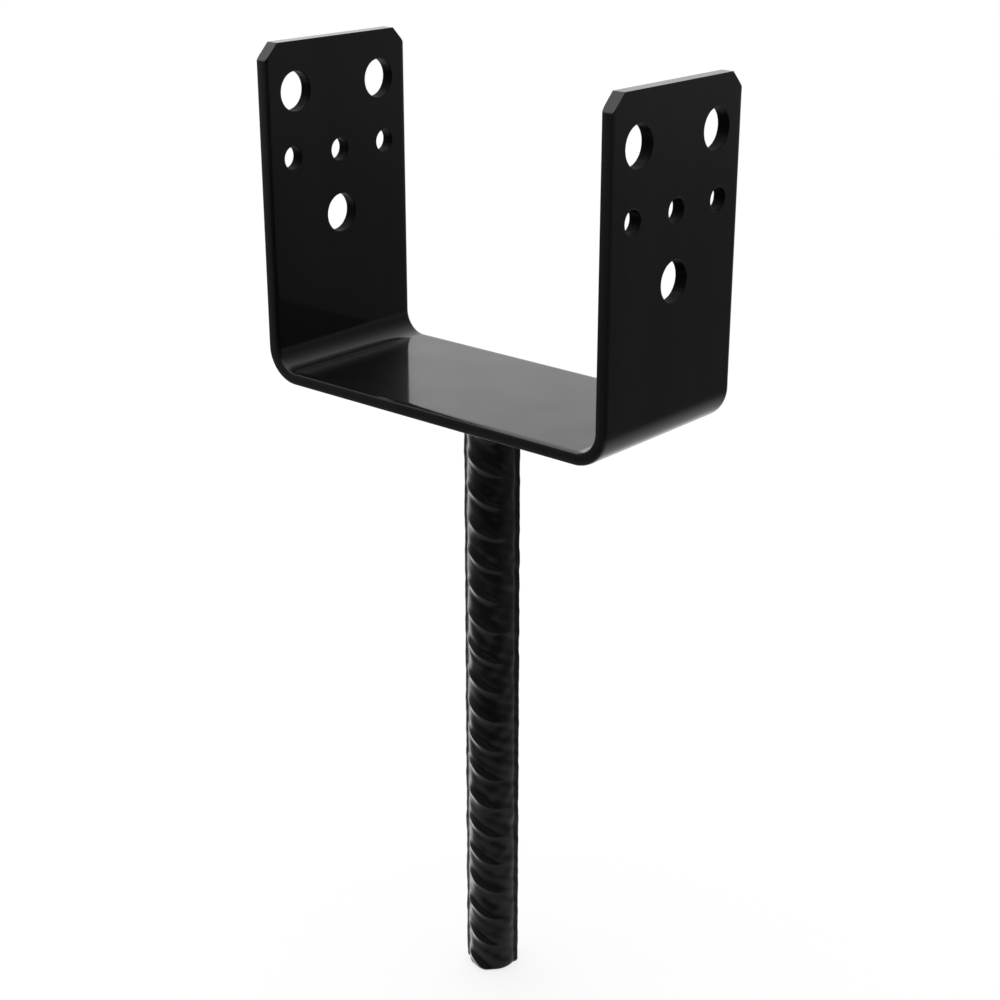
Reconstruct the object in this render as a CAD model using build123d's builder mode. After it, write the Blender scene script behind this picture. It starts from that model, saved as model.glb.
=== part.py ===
from build123d import *
from math import ceil, cos, radians, sin
import os

# A post base: a flat steel strip folded to a U and welded on top of a ribbed
# anchor bar, which is cast into concrete.  The post stands on the seat between
# the two ears and is bolted or screwed through them.
#
# The origin is the centre of the seat's top face.  X runs across the U from ear
# to ear, Y along the strip's width and +Z up the ears.  Lengths are millimetres
# and angles degrees.

# The folded strip.
strip_width = 60.0
strip_thickness = 4.0
edge_break = 0.6  # off the strip's four long edges
post_gap = 126.0  # between the ears' inner faces
ear_height = 100.0  # from the seat's top face
bend_radius = 7.0  # on the inside of both bends
corner_cut = 5.0  # off the two top corners of each ear

# The punched holes, which pass through both ears in line.
bolt_hole = 12.0
upper_bolt_height = 85.0
upper_bolt_spacing = 36.0
lower_bolt_height = 45.0
screw_hole = 7.0
screw_height = 65.0
screw_spacing = 20.0

# The anchor bar's rolled section: a round core with two seams that run along it.
core_diameter = 15.6
seam_over = 18.2  # from crest to crest across both seams
seam_width = 2.0
seam_round = 0.5
seam_turn = 28.0  # of the line through both seams, from the X axis

# Its crescent ribs, in a front row and a back row.
rib_height = 1.4  # at a rib's middle
rib_width = 3.8  # at its foot on the core
rib_lean = 26.0  # of the rib, from square across the bar
rib_reach = 68.0  # round the bar, from a rib's middle to where it runs out
rib_pitch = 10.8
first_rib = 8.0  # from the strip to the middle of the first rib

# Its ends, and the weld round its head.
bar_length = 205.0
end_break = 1.0  # off the rim of the cut end
weld_leg = 5.0

seat_underside = -strip_thickness
bar_end = seat_underside - bar_length
core_radius = core_diameter / 2


# The strip is one fold line, drawn at the inside of the U and thickened outwards.
with BuildPart() as u_plate:
    with BuildSketch(Plane.XZ) as folded_section:
        with BuildLine():
            FilletPolyline(
                (-post_gap / 2, ear_height),
                (-post_gap / 2, 0),
                (post_gap / 2, 0),
                (post_gap / 2, ear_height),
                radius=bend_radius,
            )
            offset(amount=strip_thickness, side=Side.RIGHT)
        make_face()
    extrude(amount=strip_width / 2, both=True)

    top_corners = u_plate.edges().filter_by(Axis.X).group_by(Axis.Z)[-1]
    chamfer(top_corners, length=corner_cut)

    with BuildSketch(Plane.YZ) as punched_holes:
        with Locations((0, upper_bolt_height)):
            with GridLocations(upper_bolt_spacing, 0, 2, 1):
                Circle(bolt_hole / 2)
        with Locations((0, lower_bolt_height)):
            Circle(bolt_hole / 2)
        with Locations((0, screw_height)):
            with GridLocations(screw_spacing, 0, 3, 1):
                Circle(screw_hole / 2)
    extrude(amount=post_gap / 2 + 2 * strip_thickness, both=True, mode=Mode.SUBTRACT)

    strip_sides = u_plate.faces().filter_by(Axis.Y)
    ends_of_sides = strip_sides.edges().filter_by(Axis.X).group_by(Axis.Z)[-1]
    chamfer(strip_sides.edges() - ends_of_sides, length=edge_break)
u_plate.part.label = "u_plate"


# The weld fills the corner between the strip and the bar's core.
with BuildPart() as weld_bead:
    with BuildSketch(Plane.XZ) as bead_section:
        with BuildLine():
            Polyline(
                (core_radius, seat_underside),
                (core_radius + weld_leg, seat_underside),
                (core_radius, seat_underside - weld_leg),
                close=True,
            )
        make_face()
    revolve(axis=Axis.Z)
weld_bead.part.label = "weld_bead"


# A crescent rib is the rim of a leaning disc.  The disc's centre stands off the bar's
# axis, so that the rim is proudest at its middle and sinks into the core at both ends.
lean = radians(rib_lean)
reach = radians(rib_reach)
crest_radius = core_radius + rib_height
run_out_x = core_radius * sin(reach) / cos(lean)
run_out_y = core_radius * cos(reach)
disc_offset = (crest_radius**2 - run_out_x**2 - run_out_y**2) / (2 * (crest_radius - run_out_y))
disc_radius = crest_radius - disc_offset

with BuildPart() as crescent_rib:
    # Its two flanks go on down into the core, so the section is twice the size that shows.
    with BuildSketch(Plane.XZ) as rib_section:
        with BuildLine():
            Polyline(
                (disc_radius, 0),
                (disc_radius - 2 * rib_height, rib_width),
                (disc_radius - 2 * rib_height, -rib_width),
                close=True,
            )
        make_face()
    revolve(axis=Axis.Z, revolution_arc=180)


def rib_plane(side, height):
    """Plane of one rib's disc; side is -1 in the front row and 1 in the back row."""
    return Plane(
        origin=(0, side * disc_offset, height),
        x_dir=(side * cos(lean), 0, sin(lean)),
        z_dir=(-side * sin(lean), 0, cos(lean)),
    )


with BuildPart() as anchor_bar:
    with BuildSketch(Plane.XY.offset(seat_underside)) as rolled_section:
        Rectangle(seam_over, seam_width, rotation=seam_turn)
        fillet(rolled_section.vertices(), radius=seam_round)
        Circle(core_radius)
    extrude(amount=-bar_length)

    # The back row's ribs stand half a pitch below the front row's.
    highest = seat_underside - first_rib
    rib_count = ceil((bar_length - first_rib) / rib_pitch)
    front_row = [rib_plane(-1, highest - i * rib_pitch) for i in range(rib_count)]
    back_row = [rib_plane(1, highest - (i + 0.5) * rib_pitch) for i in range(rib_count)]
    with Locations(*front_row, *back_row):
        add(crescent_rib.part)

    # The bar is cut square at the strip and at its lower end, whose rim is broken.
    cut_radius = seam_over / 2 + rib_height
    with BuildSketch(Plane.XZ) as cut_to_length:
        with BuildLine():
            Polyline(
                (0, seat_underside),
                (cut_radius, seat_underside),
                (cut_radius, bar_end + end_break + cut_radius - core_radius),
                (core_radius - end_break, bar_end),
                (0, bar_end),
                close=True,
            )
        make_face()
    revolve(axis=Axis.Z, mode=Mode.INTERSECT)

    # The ribs and seams have melted into the weld, which leaves the bare core there.
    add(weld_bead.part, mode=Mode.SUBTRACT)
anchor_bar.part.label = "anchor_bar"


os.makedirs("parts", exist_ok=True)
for piece in (u_plate, weld_bead, anchor_bar):
    export_step(piece.part, f"parts/{piece.part.label}.step")
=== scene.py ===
from math import cos, pi, radians, sin, tan

import bmesh
import bpy
import numpy as np
from mathutils import Matrix, Vector, geometry


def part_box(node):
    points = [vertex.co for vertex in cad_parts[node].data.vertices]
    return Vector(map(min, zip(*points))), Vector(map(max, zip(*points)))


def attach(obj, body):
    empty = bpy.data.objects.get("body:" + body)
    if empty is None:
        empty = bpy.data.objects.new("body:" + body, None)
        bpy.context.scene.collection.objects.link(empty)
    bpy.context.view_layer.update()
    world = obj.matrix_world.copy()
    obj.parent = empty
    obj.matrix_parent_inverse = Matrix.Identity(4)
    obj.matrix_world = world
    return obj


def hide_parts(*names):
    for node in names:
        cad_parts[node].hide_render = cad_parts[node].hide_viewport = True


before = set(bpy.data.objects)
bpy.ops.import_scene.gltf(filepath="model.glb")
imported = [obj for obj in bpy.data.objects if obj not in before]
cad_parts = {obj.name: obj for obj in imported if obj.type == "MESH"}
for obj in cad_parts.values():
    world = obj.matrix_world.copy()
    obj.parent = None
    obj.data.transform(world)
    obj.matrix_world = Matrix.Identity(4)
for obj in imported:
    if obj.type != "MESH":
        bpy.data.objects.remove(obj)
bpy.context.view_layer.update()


# ---------------------------------------------------------------- the folded strip
# A 60 by 4 mm flat of mild steel, sheared to length with its top corners cut off, punched
# with six holes at each end and folded to a U in a press brake.  Its long edges are rolled
# over, its cut ends are sharp, and it is coated gloss black after welding.
mm = 0.001
strip_low, strip_high = (np.array(corner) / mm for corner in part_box("u_plate"))
strip_half = strip_high[1]  # of the strip's width
strip_thick = -strip_low[2]
ear_inside = strip_high[0] - strip_thick
ear_top = strip_high[2]
bend = 7.0  # inside radius of both bends
corner_cut = 5.0
inner_roll = (2.0, 0.6)  # how far a rolled edge reaches onto the broad face and down the narrow one
outer_roll = (1.4, 0.4)
punched = [  # across the strip, height up the ear, radius
    (-18.0, 85.0, 6.0),
    (18.0, 85.0, 6.0),
    (-20.0, 65.0, 3.5),
    (0.0, 65.0, 3.5),
    (20.0, 65.0, 3.5),
    (0.0, 45.0, 6.0),
]
rim_round = 0.3  # of a punched hole's rim under its coat
margin = 0.2  # a narrow flat row beside each rounding keeps the broad face flat
tick_pitch = 0.8  # of the shear marks on the right ear's long edges
tick_deep = 0.09
tick_foot = 9.0  # height where the marks begin, above the bend


def strip_section():
    """The strip's outline across its width (v) and thickness (w), as one closed row of points.
    Each corner is a quarter of an ellipse: v = flat + wide*sin(t), w = deep*(1 - cos(t))."""
    t = np.linspace(0, pi / 2, 10)
    side_v, side_w, flat = [], [], strip_half - inner_roll[0] - margin
    for wide, deep in (inner_roll, outer_roll):
        side_v.append(strip_half - wide * (1 - np.sin(t)))
        side_w.append(deep * (1 - np.cos(t)))
    side_v = np.concatenate([side_v[0], side_v[1][::-1]])
    side_w = np.concatenate([side_w[0], strip_thick - side_w[1][::-1]])
    v = np.concatenate([[-flat, flat], side_v, [flat, -flat], -side_v[::-1]])
    w = np.concatenate([[0, 0], side_w, [strip_thick, strip_thick], side_w[::-1]])
    return v, w


def fold_line():
    """The inside of the U as stations from the left ear's top, round both bends, to the right
    ear's top: x and z of each, and the outward direction, which turns with the bend angle."""
    up = np.concatenate([[0, 0.1], np.arange(0.3, ear_top - bend - 0.3, 0.2), [ear_top - bend - 0.2]])
    turn = np.linspace(pi, 1.5 * pi, 33)
    seat = np.concatenate([[-ear_inside + bend + 0.2], np.linspace(-50, 50, 26), [ear_inside - bend - 0.2]])
    left_x = np.full(len(up), -ear_inside)
    bend_x = (bend - ear_inside) + bend * np.cos(turn)
    bend_z = bend + bend * np.sin(turn)
    x = np.concatenate([left_x, bend_x, seat, -bend_x[::-1], -left_x])
    z = np.concatenate([ear_top - up, bend_z, 0 * seat, bend_z[::-1], (ear_top - up)[::-1]])
    nx = np.concatenate([0 * up - 1, np.cos(turn), 0 * seat, -np.cos(turn)[::-1], 0 * up + 1])
    nz = np.concatenate([0 * up, np.sin(turn), 0 * seat - 1, np.sin(turn)[::-1], 0 * up])
    return x, z, nx, nz, len(up)


def ear_sheet(rim, rings, height, across):
    """Triangles of one broad face of an ear: a plain Delaunay net between its rim and the rings
    round its holes, without the triangles that have all three corners on one ring.  The net
    reaches to the rim's convex outline, so slivers also span the hollows of the shear marks."""
    used = np.concatenate([rim, rings.ravel()])
    flat_points = [Vector(p) for p in np.column_stack([across, height])[used]]
    n = len(rim)
    edges = [(i, (i + 1) % n) for i in range(n)]
    for k in range(len(rings)):
        first, count = n + k * rings.shape[1], rings.shape[1]
        edges += [(first + i, first + (i + 1) % count) for i in range(count)]
    made = geometry.delaunay_2d_cdt(flat_points, edges, [], 0, 1e-7, True)
    source = used[np.array([o[0] for o in made[3]])]
    tri = source[np.array(made[2])]
    a, b, c = (np.stack([across[tri[:, i]], height[tri[:, i]]], 1) for i in range(3))
    area = (b - a)[:, 0] * (c - a)[:, 1] - (b - a)[:, 1] * (c - a)[:, 0]
    tri = np.where((area > 0)[:, None], tri, tri[:, ::-1])[np.abs(area) > 1e-6]
    ring_of = np.full(len(across), -1)
    ring_of[rings.ravel()] = np.repeat(np.arange(len(rings)), rings.shape[1])
    of = ring_of[tri]
    in_a_hole = (of[:, 0] >= 0) & (of == of[:, :1]).all(1)
    return tri[~in_a_hole]


def loft(rows):
    """Quads between neighbouring rows of point numbers, each row's end joined to its start."""
    a, b = rows[:-1], rows[1:]
    quads = np.stack([a, np.roll(a, -1, 1), np.roll(b, -1, 1), b], -1)
    return quads.reshape(-1, 4)


def make_piece(name, points, faces, sharp=32):
    """A mesh object from points in millimetres: doubles merged, faces turned outwards, smooth
    except where two faces meet at more than the sharp angle."""
    mesh = bpy.data.meshes.new(name)
    mesh.from_pydata((np.asarray(points) * mm).tolist(), [], [face.tolist() for face in faces])
    bm = bmesh.new()
    bm.from_mesh(mesh)
    bmesh.ops.remove_doubles(bm, verts=bm.verts, dist=1e-7)
    bmesh.ops.dissolve_degenerate(bm, edges=bm.edges, dist=1e-8)
    bmesh.ops.recalc_face_normals(bm, faces=bm.faces)
    bm.to_mesh(mesh)
    bm.free()
    mesh.shade_smooth()
    mesh.set_sharp_from_angle(angle=radians(sharp))
    piece = bpy.data.objects.new(name, mesh)
    bpy.context.scene.collection.objects.link(piece)
    return piece


section_v, section_w = strip_section()
line_x, line_z, out_x, out_z, ear_rows = fold_line()
stations, columns = len(line_x), len(section_v)
half_here = strip_half - np.maximum(0, line_z - (ear_top - corner_cut))
grid_v = np.clip(section_v[None, :], -half_here[:, None], half_here[:, None])
grid_w = np.broadcast_to(section_w, grid_v.shape)
# The shear marks: tick_deep * (1 - cos(2*pi*z / pitch)) / 2, fading off the edge's rounding.
tick = 0.5 - 0.5 * np.cos(2 * pi * line_z / tick_pitch)
on_edge = (line_x > 0) & (line_z > tick_foot) & (line_z < ear_top - corner_cut - 1)
tick_here = np.where(on_edge, tick, 0)
on_rounding = np.exp(-(((np.abs(section_v) - strip_half + 0.5) / 0.6) ** 2)) * (section_w > strip_thick / 2)
grid_v = grid_v - tick_deep * np.sign(section_v) * tick_here[:, None] * on_rounding
grid_x = line_x[:, None] + grid_w * out_x[:, None]
grid_z = line_z[:, None] + grid_w * out_z[:, None]
points = [np.stack([grid_x, grid_v, grid_z], -1).reshape(-1, 3)]
number = np.arange(stations * columns).reshape(stations, columns)
inner, outer = 0, 22  # the columns that start the two broad faces
quads = loft(number).reshape(stations - 1, columns, 4)
on_ear = np.zeros(stations - 1, bool)
on_ear[: ear_rows - 1] = on_ear[-ear_rows + 1 :] = True
broad = np.zeros(columns, bool)
broad[[inner, outer]] = True
faces = list(quads[~(on_ear[:, None] & broad[None, :])])
faces += [number[0], number[-1][::-1]]

ring_steps = 56
ring_turn = np.arange(ring_steps) * 2 * pi / ring_steps
quarter = np.linspace(0, pi / 2, 5)
rim_out = rim_round * (1 - np.sin(quarter))
rim_in = rim_round * (1 - np.cos(quarter))
tube_out = np.concatenate([[rim_round + margin], rim_out, [0, 0], rim_out[::-1], [rim_round + margin]])
wall_ends = [rim_round + margin, strip_thick - rim_round - margin]
tube_w = np.concatenate([[0], rim_in, wall_ends, strip_thick - rim_in[::-1], [strip_thick]])
next_number = stations * columns
for side, rows in ((-1, number[:ear_rows]), (1, number[-ear_rows:])):
    inner_rings, outer_rings = [], []
    for cy, cz, radius in punched:
        from_middle = radius + tube_out[:, None]
        y = cy + from_middle * np.cos(ring_turn)
        z = cz + from_middle * np.sin(ring_turn)
        x = np.broadcast_to(side * (ear_inside + tube_w[:, None]), y.shape)
        points.append(np.stack([x, y, z], -1).reshape(-1, 3))
        tube = next_number + np.arange(y.size).reshape(y.shape)
        next_number += y.size
        inner_rings.append(tube[0])
        outer_rings.append(tube[-1])
        faces += list(loft(tube))
    cloud = np.concatenate(points)
    for start, rings in ((inner, inner_rings), (outer, outer_rings)):
        rim = np.concatenate([rows[:, start], rows[::-1, start + 1]])
        faces += list(ear_sheet(rim, np.array(rings), cloud[:, 2], cloud[:, 1]))

strip = make_piece("folded_strip", np.concatenate(points), faces)
# The broad faces of the ears are truly flat, so they take the plain normal of their plane.
facing = np.array([face.normal.x for face in strip.data.polygons])
middle = np.array([face.center[:] for face in strip.data.polygons]) / mm
strip.data.polygons.foreach_set("use_smooth", np.abs(facing) < 0.99999)
# Faces inside the holes take the second material, whose darker base colour is painted shade.
in_hole = np.zeros(len(facing), bool)
deep = np.abs(np.abs(middle[:, 0]) - ear_inside - strip_thick / 2) < strip_thick / 2 - 0.05
for cy, cz, radius in punched:
    in_hole |= deep & (np.hypot(middle[:, 1] - cy, middle[:, 2] - cz) < radius + 0.1)
strip.data.polygons.foreach_set("material_index", in_hole.astype(np.int32))


def new_material(name, base, roughness, haze, gloss):
    """Black paint on steel: a nearly black, hazy body under a clear gloss skin."""
    material = bpy.data.materials.new(name)
    material.use_nodes = True
    tree = material.node_tree
    shader = tree.nodes["Principled BSDF"]
    shader.inputs["Base Color"].default_value = (*base, 1)
    shader.inputs["Roughness"].default_value = roughness
    shader.inputs["Specular IOR Level"].default_value = haze
    shader.inputs["Coat Weight"].default_value = 1
    shader.inputs["Coat Roughness"].default_value = gloss
    shader.inputs["Coat IOR"].default_value = 1.5
    return material, tree, shader


def noise(tree, scale, detail, stretch=(1, 1, 1)):
    """Noise on Object coordinates, so many features a metre, stretched along the axes."""
    where = tree.nodes.new("ShaderNodeTexCoord")
    mapping = tree.nodes.new("ShaderNodeMapping")
    mapping.inputs["Scale"].default_value = stretch
    made = tree.nodes.new("ShaderNodeTexNoise")
    made.inputs["Scale"].default_value = scale
    made.inputs["Detail"].default_value = detail
    tree.links.new(where.outputs["Object"], mapping.inputs["Vector"])
    tree.links.new(mapping.outputs["Vector"], made.inputs["Vector"])
    return made.outputs["Fac"]


def ramp(tree, source, low, high, dark, light):
    """Carries the source from low..high to dark..light."""
    node = tree.nodes.new("ShaderNodeMapRange")
    node.inputs["From Min"].default_value = low
    node.inputs["From Max"].default_value = high
    node.inputs["To Min"].default_value = dark
    node.inputs["To Max"].default_value = light
    tree.links.new(source, node.inputs["Value"])
    return node.outputs["Result"]


def shade_of(tree, source, dark, light):
    """A near-black shade that drifts between two levels with the source."""
    node = tree.nodes.new("ShaderNodeValToRGB")
    node.color_ramp.elements[0].position = 0.35
    node.color_ramp.elements[1].position = 0.65
    node.color_ramp.elements[0].color = (dark, dark, dark * 1.05, 1)
    node.color_ramp.elements[1].color = (light, light, light * 1.05, 1)
    tree.links.new(source, node.inputs["Fac"])
    return node.outputs["Color"]


def skin(tree, shader, layers):
    """Bump of several layers, each a height source and the height in metres of its full range."""
    normal = None
    for source, height in layers:
        bump = tree.nodes.new("ShaderNodeBump")
        bump.inputs["Strength"].default_value = 1
        bump.inputs["Distance"].default_value = height
        tree.links.new(source, bump.inputs["Height"])
        if normal is not None:
            tree.links.new(normal, bump.inputs["Normal"])
        normal = bump.outputs["Normal"]
    tree.links.new(normal, shader.inputs["Normal"])


plate_coat, tree, shader = new_material("plate_coat", (0.0028, 0.0028, 0.003), 0.5, 0.09, 0.08)
dull = ramp(tree, noise(tree, 60, 3, (1, 1, 0.25)), 0.3, 0.7, 0.42, 0.58)
tree.links.new(dull, shader.inputs["Roughness"])
skin(tree, shader, [
    (noise(tree, 28, 1), 0.0009),
    (noise(tree, 75, 2), 0.0002),
    (noise(tree, 450, 2), 0.000012),
])
black = shade_of(tree, noise(tree, 70, 3, (1, 1, 0.12)), 0.0016, 0.0046)
tree.links.new(black, shader.inputs["Base Color"])
strip.data.materials.append(plate_coat)

# Inside the punched holes the coat is thin over torn steel, so it is dull; its base colour, darker than the
# plate's, is painted shade for the shaded hole walls.
hole_coat_painted_shade, tree, shader = new_material("hole_coat_painted_shade", (0.001, 0.001, 0.001), 0.6, 0.1, 0.2)
shader.inputs["Coat Weight"].default_value = 0.05
dull = ramp(tree, noise(tree, 600, 3, (0.3, 1, 1)), 0.3, 0.7, 0.5, 0.75)
tree.links.new(dull, shader.inputs["Roughness"])
skin(tree, shader, [(noise(tree, 900, 2, (0.2, 1, 1)), 0.00006)])
strip.data.materials.append(hole_coat_painted_shade)
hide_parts("u_plate")
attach(strip, "root")


# ---------------------------------------------------------------- the anchor bar
# A 16 mm bar of hot-rolled reinforcing steel with two seams along it and a row of crescent
# ribs on each side.  It is sheared to length and welded upright under the strip.
bar_low, bar_high = (np.array(corner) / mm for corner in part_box("anchor_bar"))
bar_top, bar_foot = bar_high[2], bar_low[2]
core = 7.8
seam_high = 1.3
seam_half = 1.0
seam_turn = radians(28)
rib_high = 1.4
rib_half = 1.9  # half a rib's width at its foot
rib_lean = radians(26)
rib_reach = radians(68)
rib_pitch = 10.8
rib_first = -12.0  # height of the first rib's middle in the front row
rib_shown = 0.6  # share of the rib's height left standing, because the coat fills its foot
weld_leg = 5.0
end_down = 1.0  # of the rounded, sheared end
lump_sizes = ((0.05, 14), (0.02, 22))  # of the coat: size of all its waves together, and count


def soft_max(a, b, blend):
    """The larger of two surfaces, with the crease between them filled to about the blend."""
    return 0.5 * (a + b + np.sqrt((a - b) ** 2 + blend**2))


def rib_row(turn, height, side):
    """How far the ribs of one row stand off the core, by angle and height.  A rib is the rim of
    a disc that leans and stands off centre; its flanks fall away evenly from its crest."""
    front = side * np.cos(turn)  # 1 at the middle of this row's ribs
    across = np.sin(turn)
    run_x = core * sin(rib_reach) / cos(rib_lean)
    run_y = core * cos(rib_reach)
    crest = core + rib_high
    off = (crest**2 - run_x**2 - run_y**2) / (2 * (crest - run_y))
    disc = crest - off
    a = (across / cos(rib_lean)) ** 2 + front**2
    reach = (off * front + np.sqrt(off**2 * front**2 - a * (off**2 - disc**2))) / a
    first = rib_first - (0.5 * rib_pitch if side > 0 else 0)
    line = side * reach * across * tan(rib_lean) + first
    away = (height - line + 0.5 * rib_pitch) % rib_pitch - 0.5 * rib_pitch
    far = 9.0  # above the first rib there is none
    away = np.where(height > line + 0.5 * rib_pitch, far, away)
    ridge = np.sqrt((away * cos(rib_lean)) ** 2 + 0.3**2) - 0.3
    return reach - core - ridge * rib_high / rib_half


def bar_surface():
    """Distance from the bar's axis by angle and height: the round core, the two seams and both
    rows of ribs, each taken where it stands highest, plus the lumps of its coat."""
    turn = np.linspace(0, 2 * pi, 145)[:-1]
    height = np.linspace(bar_top, bar_foot + end_down, 520)
    t, z = np.meshgrid(turn, height)
    # the angle runs from the +Y side; x = r*sin(t), y = r*cos(t)
    rise = np.zeros(t.shape)
    for side in (-1, 1):
        rise = soft_max(rise, rib_shown * np.maximum(rib_row(t, z, side), -1.0), 0.25)
    seam_at = pi / 2 - seam_turn
    for at in (seam_at, seam_at + pi):
        beside = core * np.sin(t - at)
        on_side = np.cos(t - at) > 0
        seam = np.where(on_side, seam_high * np.exp(-(np.abs(beside / seam_half) ** 2.5)), 0)
        rise = soft_max(rise, seam, 0.2) - 0.1
    melted = np.clip((bar_top - weld_leg - z) / 1.5, 0, 1)
    rise = rise * melted
    draw = np.random.default_rng(7)
    for size, count in lump_sizes:
        for _ in range(count):
            rounds, wave = draw.integers(1, 9), 2 * pi / draw.uniform(4, 22) * draw.choice((-1, 1))
            start = draw.uniform(0, 2 * pi)
            rise = rise + size / np.sqrt(count) * np.sin(rounds * t + wave * z + start) * 1.6
    return t, z, core + rise


turn, height, radius = bar_surface()
body = np.stack([radius * np.sin(turn), radius * np.cos(turn), height], -1)
# Rows of the end: how far in from the last round of the bar, and how far down.
end_rows = [(0.35, 0.6), (0.75, 0.9), (1.2, 1.0), (3.0, 1.0), (6.0, 1.0)]
ends = []
for inward, down in end_rows:
    shrink = np.maximum(radius[-1] - inward, 0.2)
    end_z = 0 * shrink + bar_foot + end_down - down
    ends.append(np.stack([shrink * np.sin(turn[-1]), shrink * np.cos(turn[-1]), end_z], -1))
rows = np.concatenate([body, np.array(ends)])
number = np.arange(rows.shape[0] * rows.shape[1]).reshape(rows.shape[:2])
faces = list(loft(number)) + [number[0], number[-1][::-1]]
bar = make_piece("ribbed_bar", rows.reshape(-1, 3), faces, sharp=60)

bar_coat, tree, shader = new_material("bar_coat", (0.0032, 0.0032, 0.0034), 0.5, 0.1, 0.13)
tree.links.new(ramp(tree, noise(tree, 150, 3), 0.3, 0.7, 0.42, 0.6), shader.inputs["Roughness"])
skin(tree, shader, [
    (noise(tree, 220, 3), 0.00012),
    (noise(tree, 900, 2), 0.00002),
])
tree.links.new(shade_of(tree, noise(tree, 90, 4), 0.0018, 0.006), shader.inputs["Base Color"])
bar.data.materials.append(bar_coat)
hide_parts("anchor_bar")
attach(bar, "root")


# ---------------------------------------------------------------- the weld
# One run of arc weld round the bar's head, a little hollow in section, with the ripples that
# its pool leaves as it travels.  The coat covers it.
def weld_surface():
    """A ring whose section is a quarter-hollow between the strip and the bar; the bead's face
    rises and falls as the pool sets, in ripples that trail behind its middle."""
    around = np.linspace(0, 2 * pi, 289)[:-1]
    s = np.linspace(0, 1, 17)
    a, p = np.meshgrid(around, s)
    ripple = 0.16 * np.sin(46 * a + 2.2 * np.cos(pi * (p - 0.5))) * np.sin(pi * p)
    wander = 0.2 * np.sin(3 * a + 1.0) + 0.12 * np.sin(7 * a + 2.0)
    leg = weld_leg - 0.35 + 0.3 * wander
    hollow = 0.35 * np.sin(pi * p)
    r = core + leg * (1 - p) - hollow + ripple * 0.7
    z = bar_top - leg * p + hollow - ripple * 0.7
    r = np.concatenate([r, np.full((1, len(around)), core - 0.3)])
    z = np.concatenate([z, np.full((1, len(around)), bar_top)])
    a = np.concatenate([a, a[:1]])
    return np.stack([r * np.sin(a), r * np.cos(a), np.minimum(z, bar_top)], -1)


ring = weld_surface()
number = np.arange(ring.shape[0] * ring.shape[1]).reshape(ring.shape[:2])
number = np.concatenate([number, number[:1]])
weld = make_piece("weld_run", ring.reshape(-1, 3), list(loft(number)), sharp=50)
weld_coat, tree, shader = new_material("weld_coat", (0.0032, 0.0032, 0.0034), 0.5, 0.06, 0.24)
tree.links.new(ramp(tree, noise(tree, 300, 3), 0.3, 0.7, 0.42, 0.6), shader.inputs["Roughness"])
skin(tree, shader, [(noise(tree, 700, 3), 0.00004)])
weld.data.materials.append(weld_coat)
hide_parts("weld_bead")
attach(weld, "root")


# ---------------------------------------------------------------- floor, light and camera
# A pale floor under the bar's end.  The room is bright on the left and behind, and dark on the
# camera's side, which is what the gloss coat shows.
floor_mesh = bpy.data.meshes.new("floor")
floor_z = bar_foot * mm
far_out = 6.0
corners = [(x * far_out, y * far_out, floor_z) for x, y in ((-1, -1), (1, -1), (1, 1), (-1, 1))]
floor_mesh.from_pydata(corners, [], [(0, 1, 2, 3)])
floor = bpy.data.objects.new("floor", floor_mesh)
bpy.context.scene.collection.objects.link(floor)
paper = bpy.data.materials.new("pale_floor")
paper.use_nodes = True
tree = paper.node_tree
tree.nodes.clear()
out = tree.nodes.new("ShaderNodeOutputMaterial")
diffuse = tree.nodes.new("ShaderNodeBsdfDiffuse")
diffuse.inputs["Color"].default_value = (0.3, 0.3, 0.3, 1)
glow = tree.nodes.new("ShaderNodeEmission")
glow.inputs["Color"].default_value = (0.78, 0.78, 0.78, 1)
glow.inputs["Strength"].default_value = 1
both = tree.nodes.new("ShaderNodeAddShader")
path = tree.nodes.new("ShaderNodeLightPath")
plain = tree.nodes.new("ShaderNodeBsdfDiffuse")
plain.inputs["Color"].default_value = (0.75, 0.75, 0.75, 1)
clear = tree.nodes.new("ShaderNodeBsdfTransparent")
by_camera = tree.nodes.new("ShaderNodeMixShader")
by_gloss = tree.nodes.new("ShaderNodeMixShader")
tree.links.new(diffuse.outputs[0], both.inputs[0])
tree.links.new(glow.outputs[0], both.inputs[1])
tree.links.new(path.outputs["Is Camera Ray"], by_camera.inputs[0])
tree.links.new(plain.outputs[0], by_camera.inputs[1])
tree.links.new(both.outputs[0], by_camera.inputs[2])
tree.links.new(path.outputs["Is Glossy Ray"], by_gloss.inputs[0])
tree.links.new(by_camera.outputs[0], by_gloss.inputs[1])
tree.links.new(clear.outputs[0], by_gloss.inputs[2])
tree.links.new(by_gloss.outputs[0], out.inputs["Surface"])
floor.data.materials.append(paper)

world = bpy.data.worlds.new("studio")
bpy.context.scene.world = world
world.use_nodes = True
tree = world.node_tree
tree.nodes.clear()
out = tree.nodes.new("ShaderNodeOutputWorld")
sky = tree.nodes.new("ShaderNodeBackground")
white = tree.nodes.new("ShaderNodeBackground")
white.inputs["Color"].default_value = (1, 1, 1, 1)
white.inputs["Strength"].default_value = 1
mix = tree.nodes.new("ShaderNodeMixShader")
path = tree.nodes.new("ShaderNodeLightPath")
where = tree.nodes.new("ShaderNodeTexCoord")
split = tree.nodes.new("ShaderNodeSeparateXYZ")
tree.links.new(where.outputs["Generated"], split.inputs[0])


def math_node(tree, kind, a, b=None):
    """One sum of two numbers or sockets."""
    node = tree.nodes.new("ShaderNodeMath")
    node.operation = kind
    for i, value in enumerate((a, b)):
        if value is None:
            continue
        if isinstance(value, (int, float)):
            node.inputs[i].default_value = value
        else:
            tree.links.new(value, node.inputs[i])
    return node.outputs[0]


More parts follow.
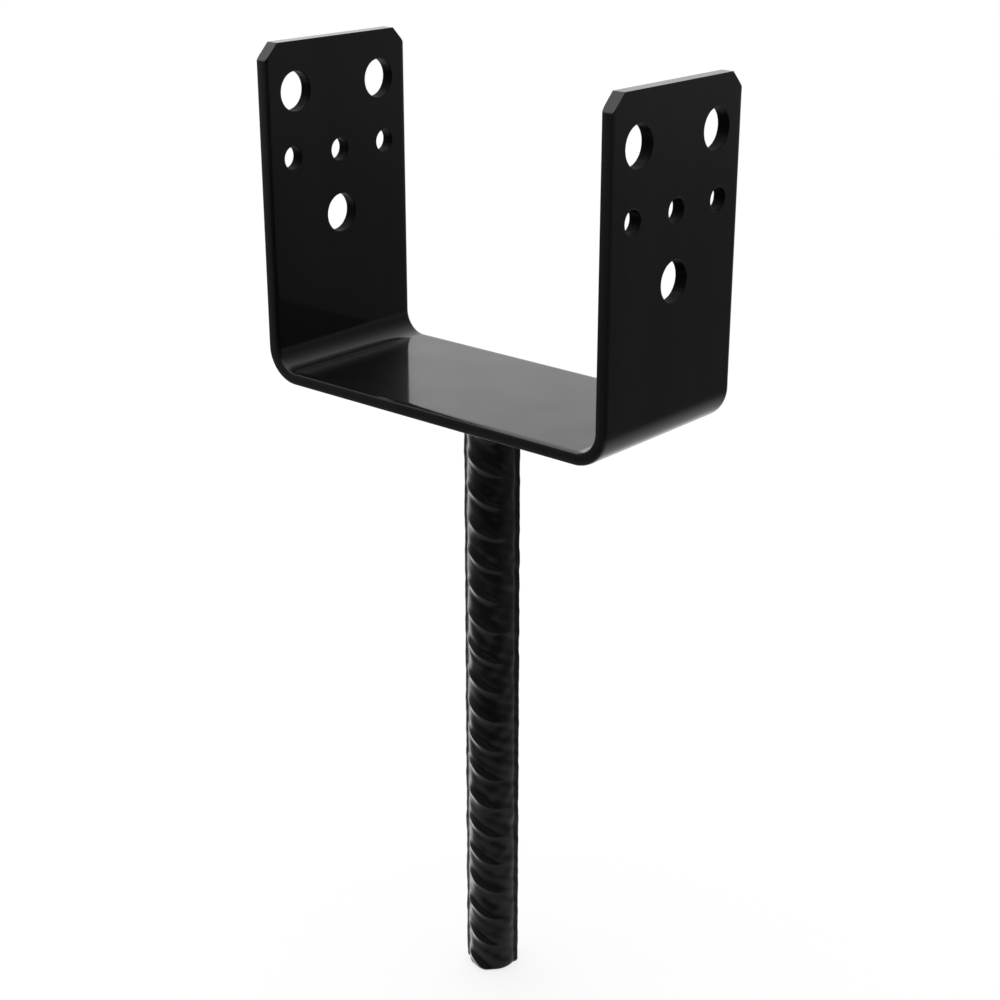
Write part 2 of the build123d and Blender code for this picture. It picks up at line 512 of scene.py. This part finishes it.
def curve_of(tree, source, stops):
    """A smooth curve through (place, level) stops, for a source from -1 to 1, level up to 2."""
    node = tree.nodes.new("ShaderNodeFloatCurve")
    curve = node.mapping.curves[0]
    while len(curve.points) > 2:
        curve.points.remove(curve.points[1])
    xs = [((p + 1) / 2, v / 2) for p, v in stops]
    curve.points[0].location = xs[0]
    curve.points[1].location = xs[-1]
    for p in xs[1:-1]:
        curve.points.new(*p)
    node.mapping.update()
    half = math_node(tree, "MULTIPLY", math_node(tree, "ADD", source, 1.0), 0.5)
    tree.links.new(half, node.inputs["Value"])
    return math_node(tree, "MULTIPLY", node.outputs[0], 2.0)


to_right, to_back, to_top = split.outputs
left = curve_of(tree, to_right, [
    (-1, 1.2), (-0.92, 1.2), (-0.57, 0.95), (-0.35, 0.85), (-0.13, 0.45),
    (0.24, 0.18), (0.48, 0.08), (0.57, 0.08), (1, 0.06),
])
back = curve_of(tree, to_back, [(-1, 0.05), (-0.7, 0.12), (-0.35, 0.2), (-0.12, 0.6), (0.05, 1), (1, 1)])
above = curve_of(tree, to_top, [
    (-1, 0.25), (-0.6, 0.3), (-0.42, 0.06), (-0.3, 0.03), (-0.22, 0.05), (-0.13, 0.14),
    (0.1, 0.1), (0.3, 0.1), (0.6, 0.3), (0.8, 0.75), (1, 1.5),
])
level = math_node(tree, "ADD", math_node(tree, "MULTIPLY", left, back), above)
tree.links.new(level, sky.inputs["Strength"])
tree.links.new(path.outputs["Is Camera Ray"], mix.inputs[0])
tree.links.new(sky.outputs[0], mix.inputs[1])
tree.links.new(white.outputs[0], mix.inputs[2])
tree.links.new(mix.outputs[0], out.inputs["Surface"])

# The camera stands to the front right, a little above the ears.
camera_turn, camera_dip, camera_roll = 0.6685, 0.3911, 0.0158
focal = 1.9072  # as a share of the frame's width
aim = (-23.6394, 48.3149, 587.9115)  # the origin as the camera sees it: right, up and away
centre = (0.56892, 0.5440)
ahead = np.array([-sin(camera_turn) * cos(camera_dip), cos(camera_turn) * cos(camera_dip), -sin(camera_dip)])
level_right = np.array([cos(camera_turn), sin(camera_turn), 0])
level_up = np.cross(level_right, ahead)
right = level_right * cos(camera_roll) + level_up * sin(camera_roll)
up = level_up * cos(camera_roll) - level_right * sin(camera_roll)
stand = -(aim[0] * right + aim[1] * up + aim[2] * ahead) * mm
lens = bpy.data.cameras.new("camera")
lens.sensor_width = 36
lens.lens = 36 * focal
lens.shift_x = 0.5 - centre[0]
lens.shift_y = centre[1] - 0.5
lens.clip_start, lens.clip_end = 0.01, 20
camera = bpy.data.objects.new("camera", lens)
bpy.context.scene.collection.objects.link(camera)
axes = [[right[i], up[i], -ahead[i], stand[i]] for i in range(3)]
camera.matrix_world = Matrix(axes + [[0, 0, 0, 1]])
bpy.context.scene.camera = camera

lamp_data = bpy.data.lights.new("soft_box", "AREA")
lamp_data.shape = "RECTANGLE"
lamp_data.size, lamp_data.size_y = 1.2, 1.2
lamp_data.energy = 2
lamp = bpy.data.objects.new("soft_box", lamp_data)
bpy.context.scene.collection.objects.link(lamp)
lamp.location = (-0.9, -0.55, 1.25)
lamp.rotation_mode = "QUATERNION"
lamp.rotation_quaternion = (-lamp.location).to_track_quat("-Z", "Y")

bpy.context.scene.view_settings.view_transform = "Standard"
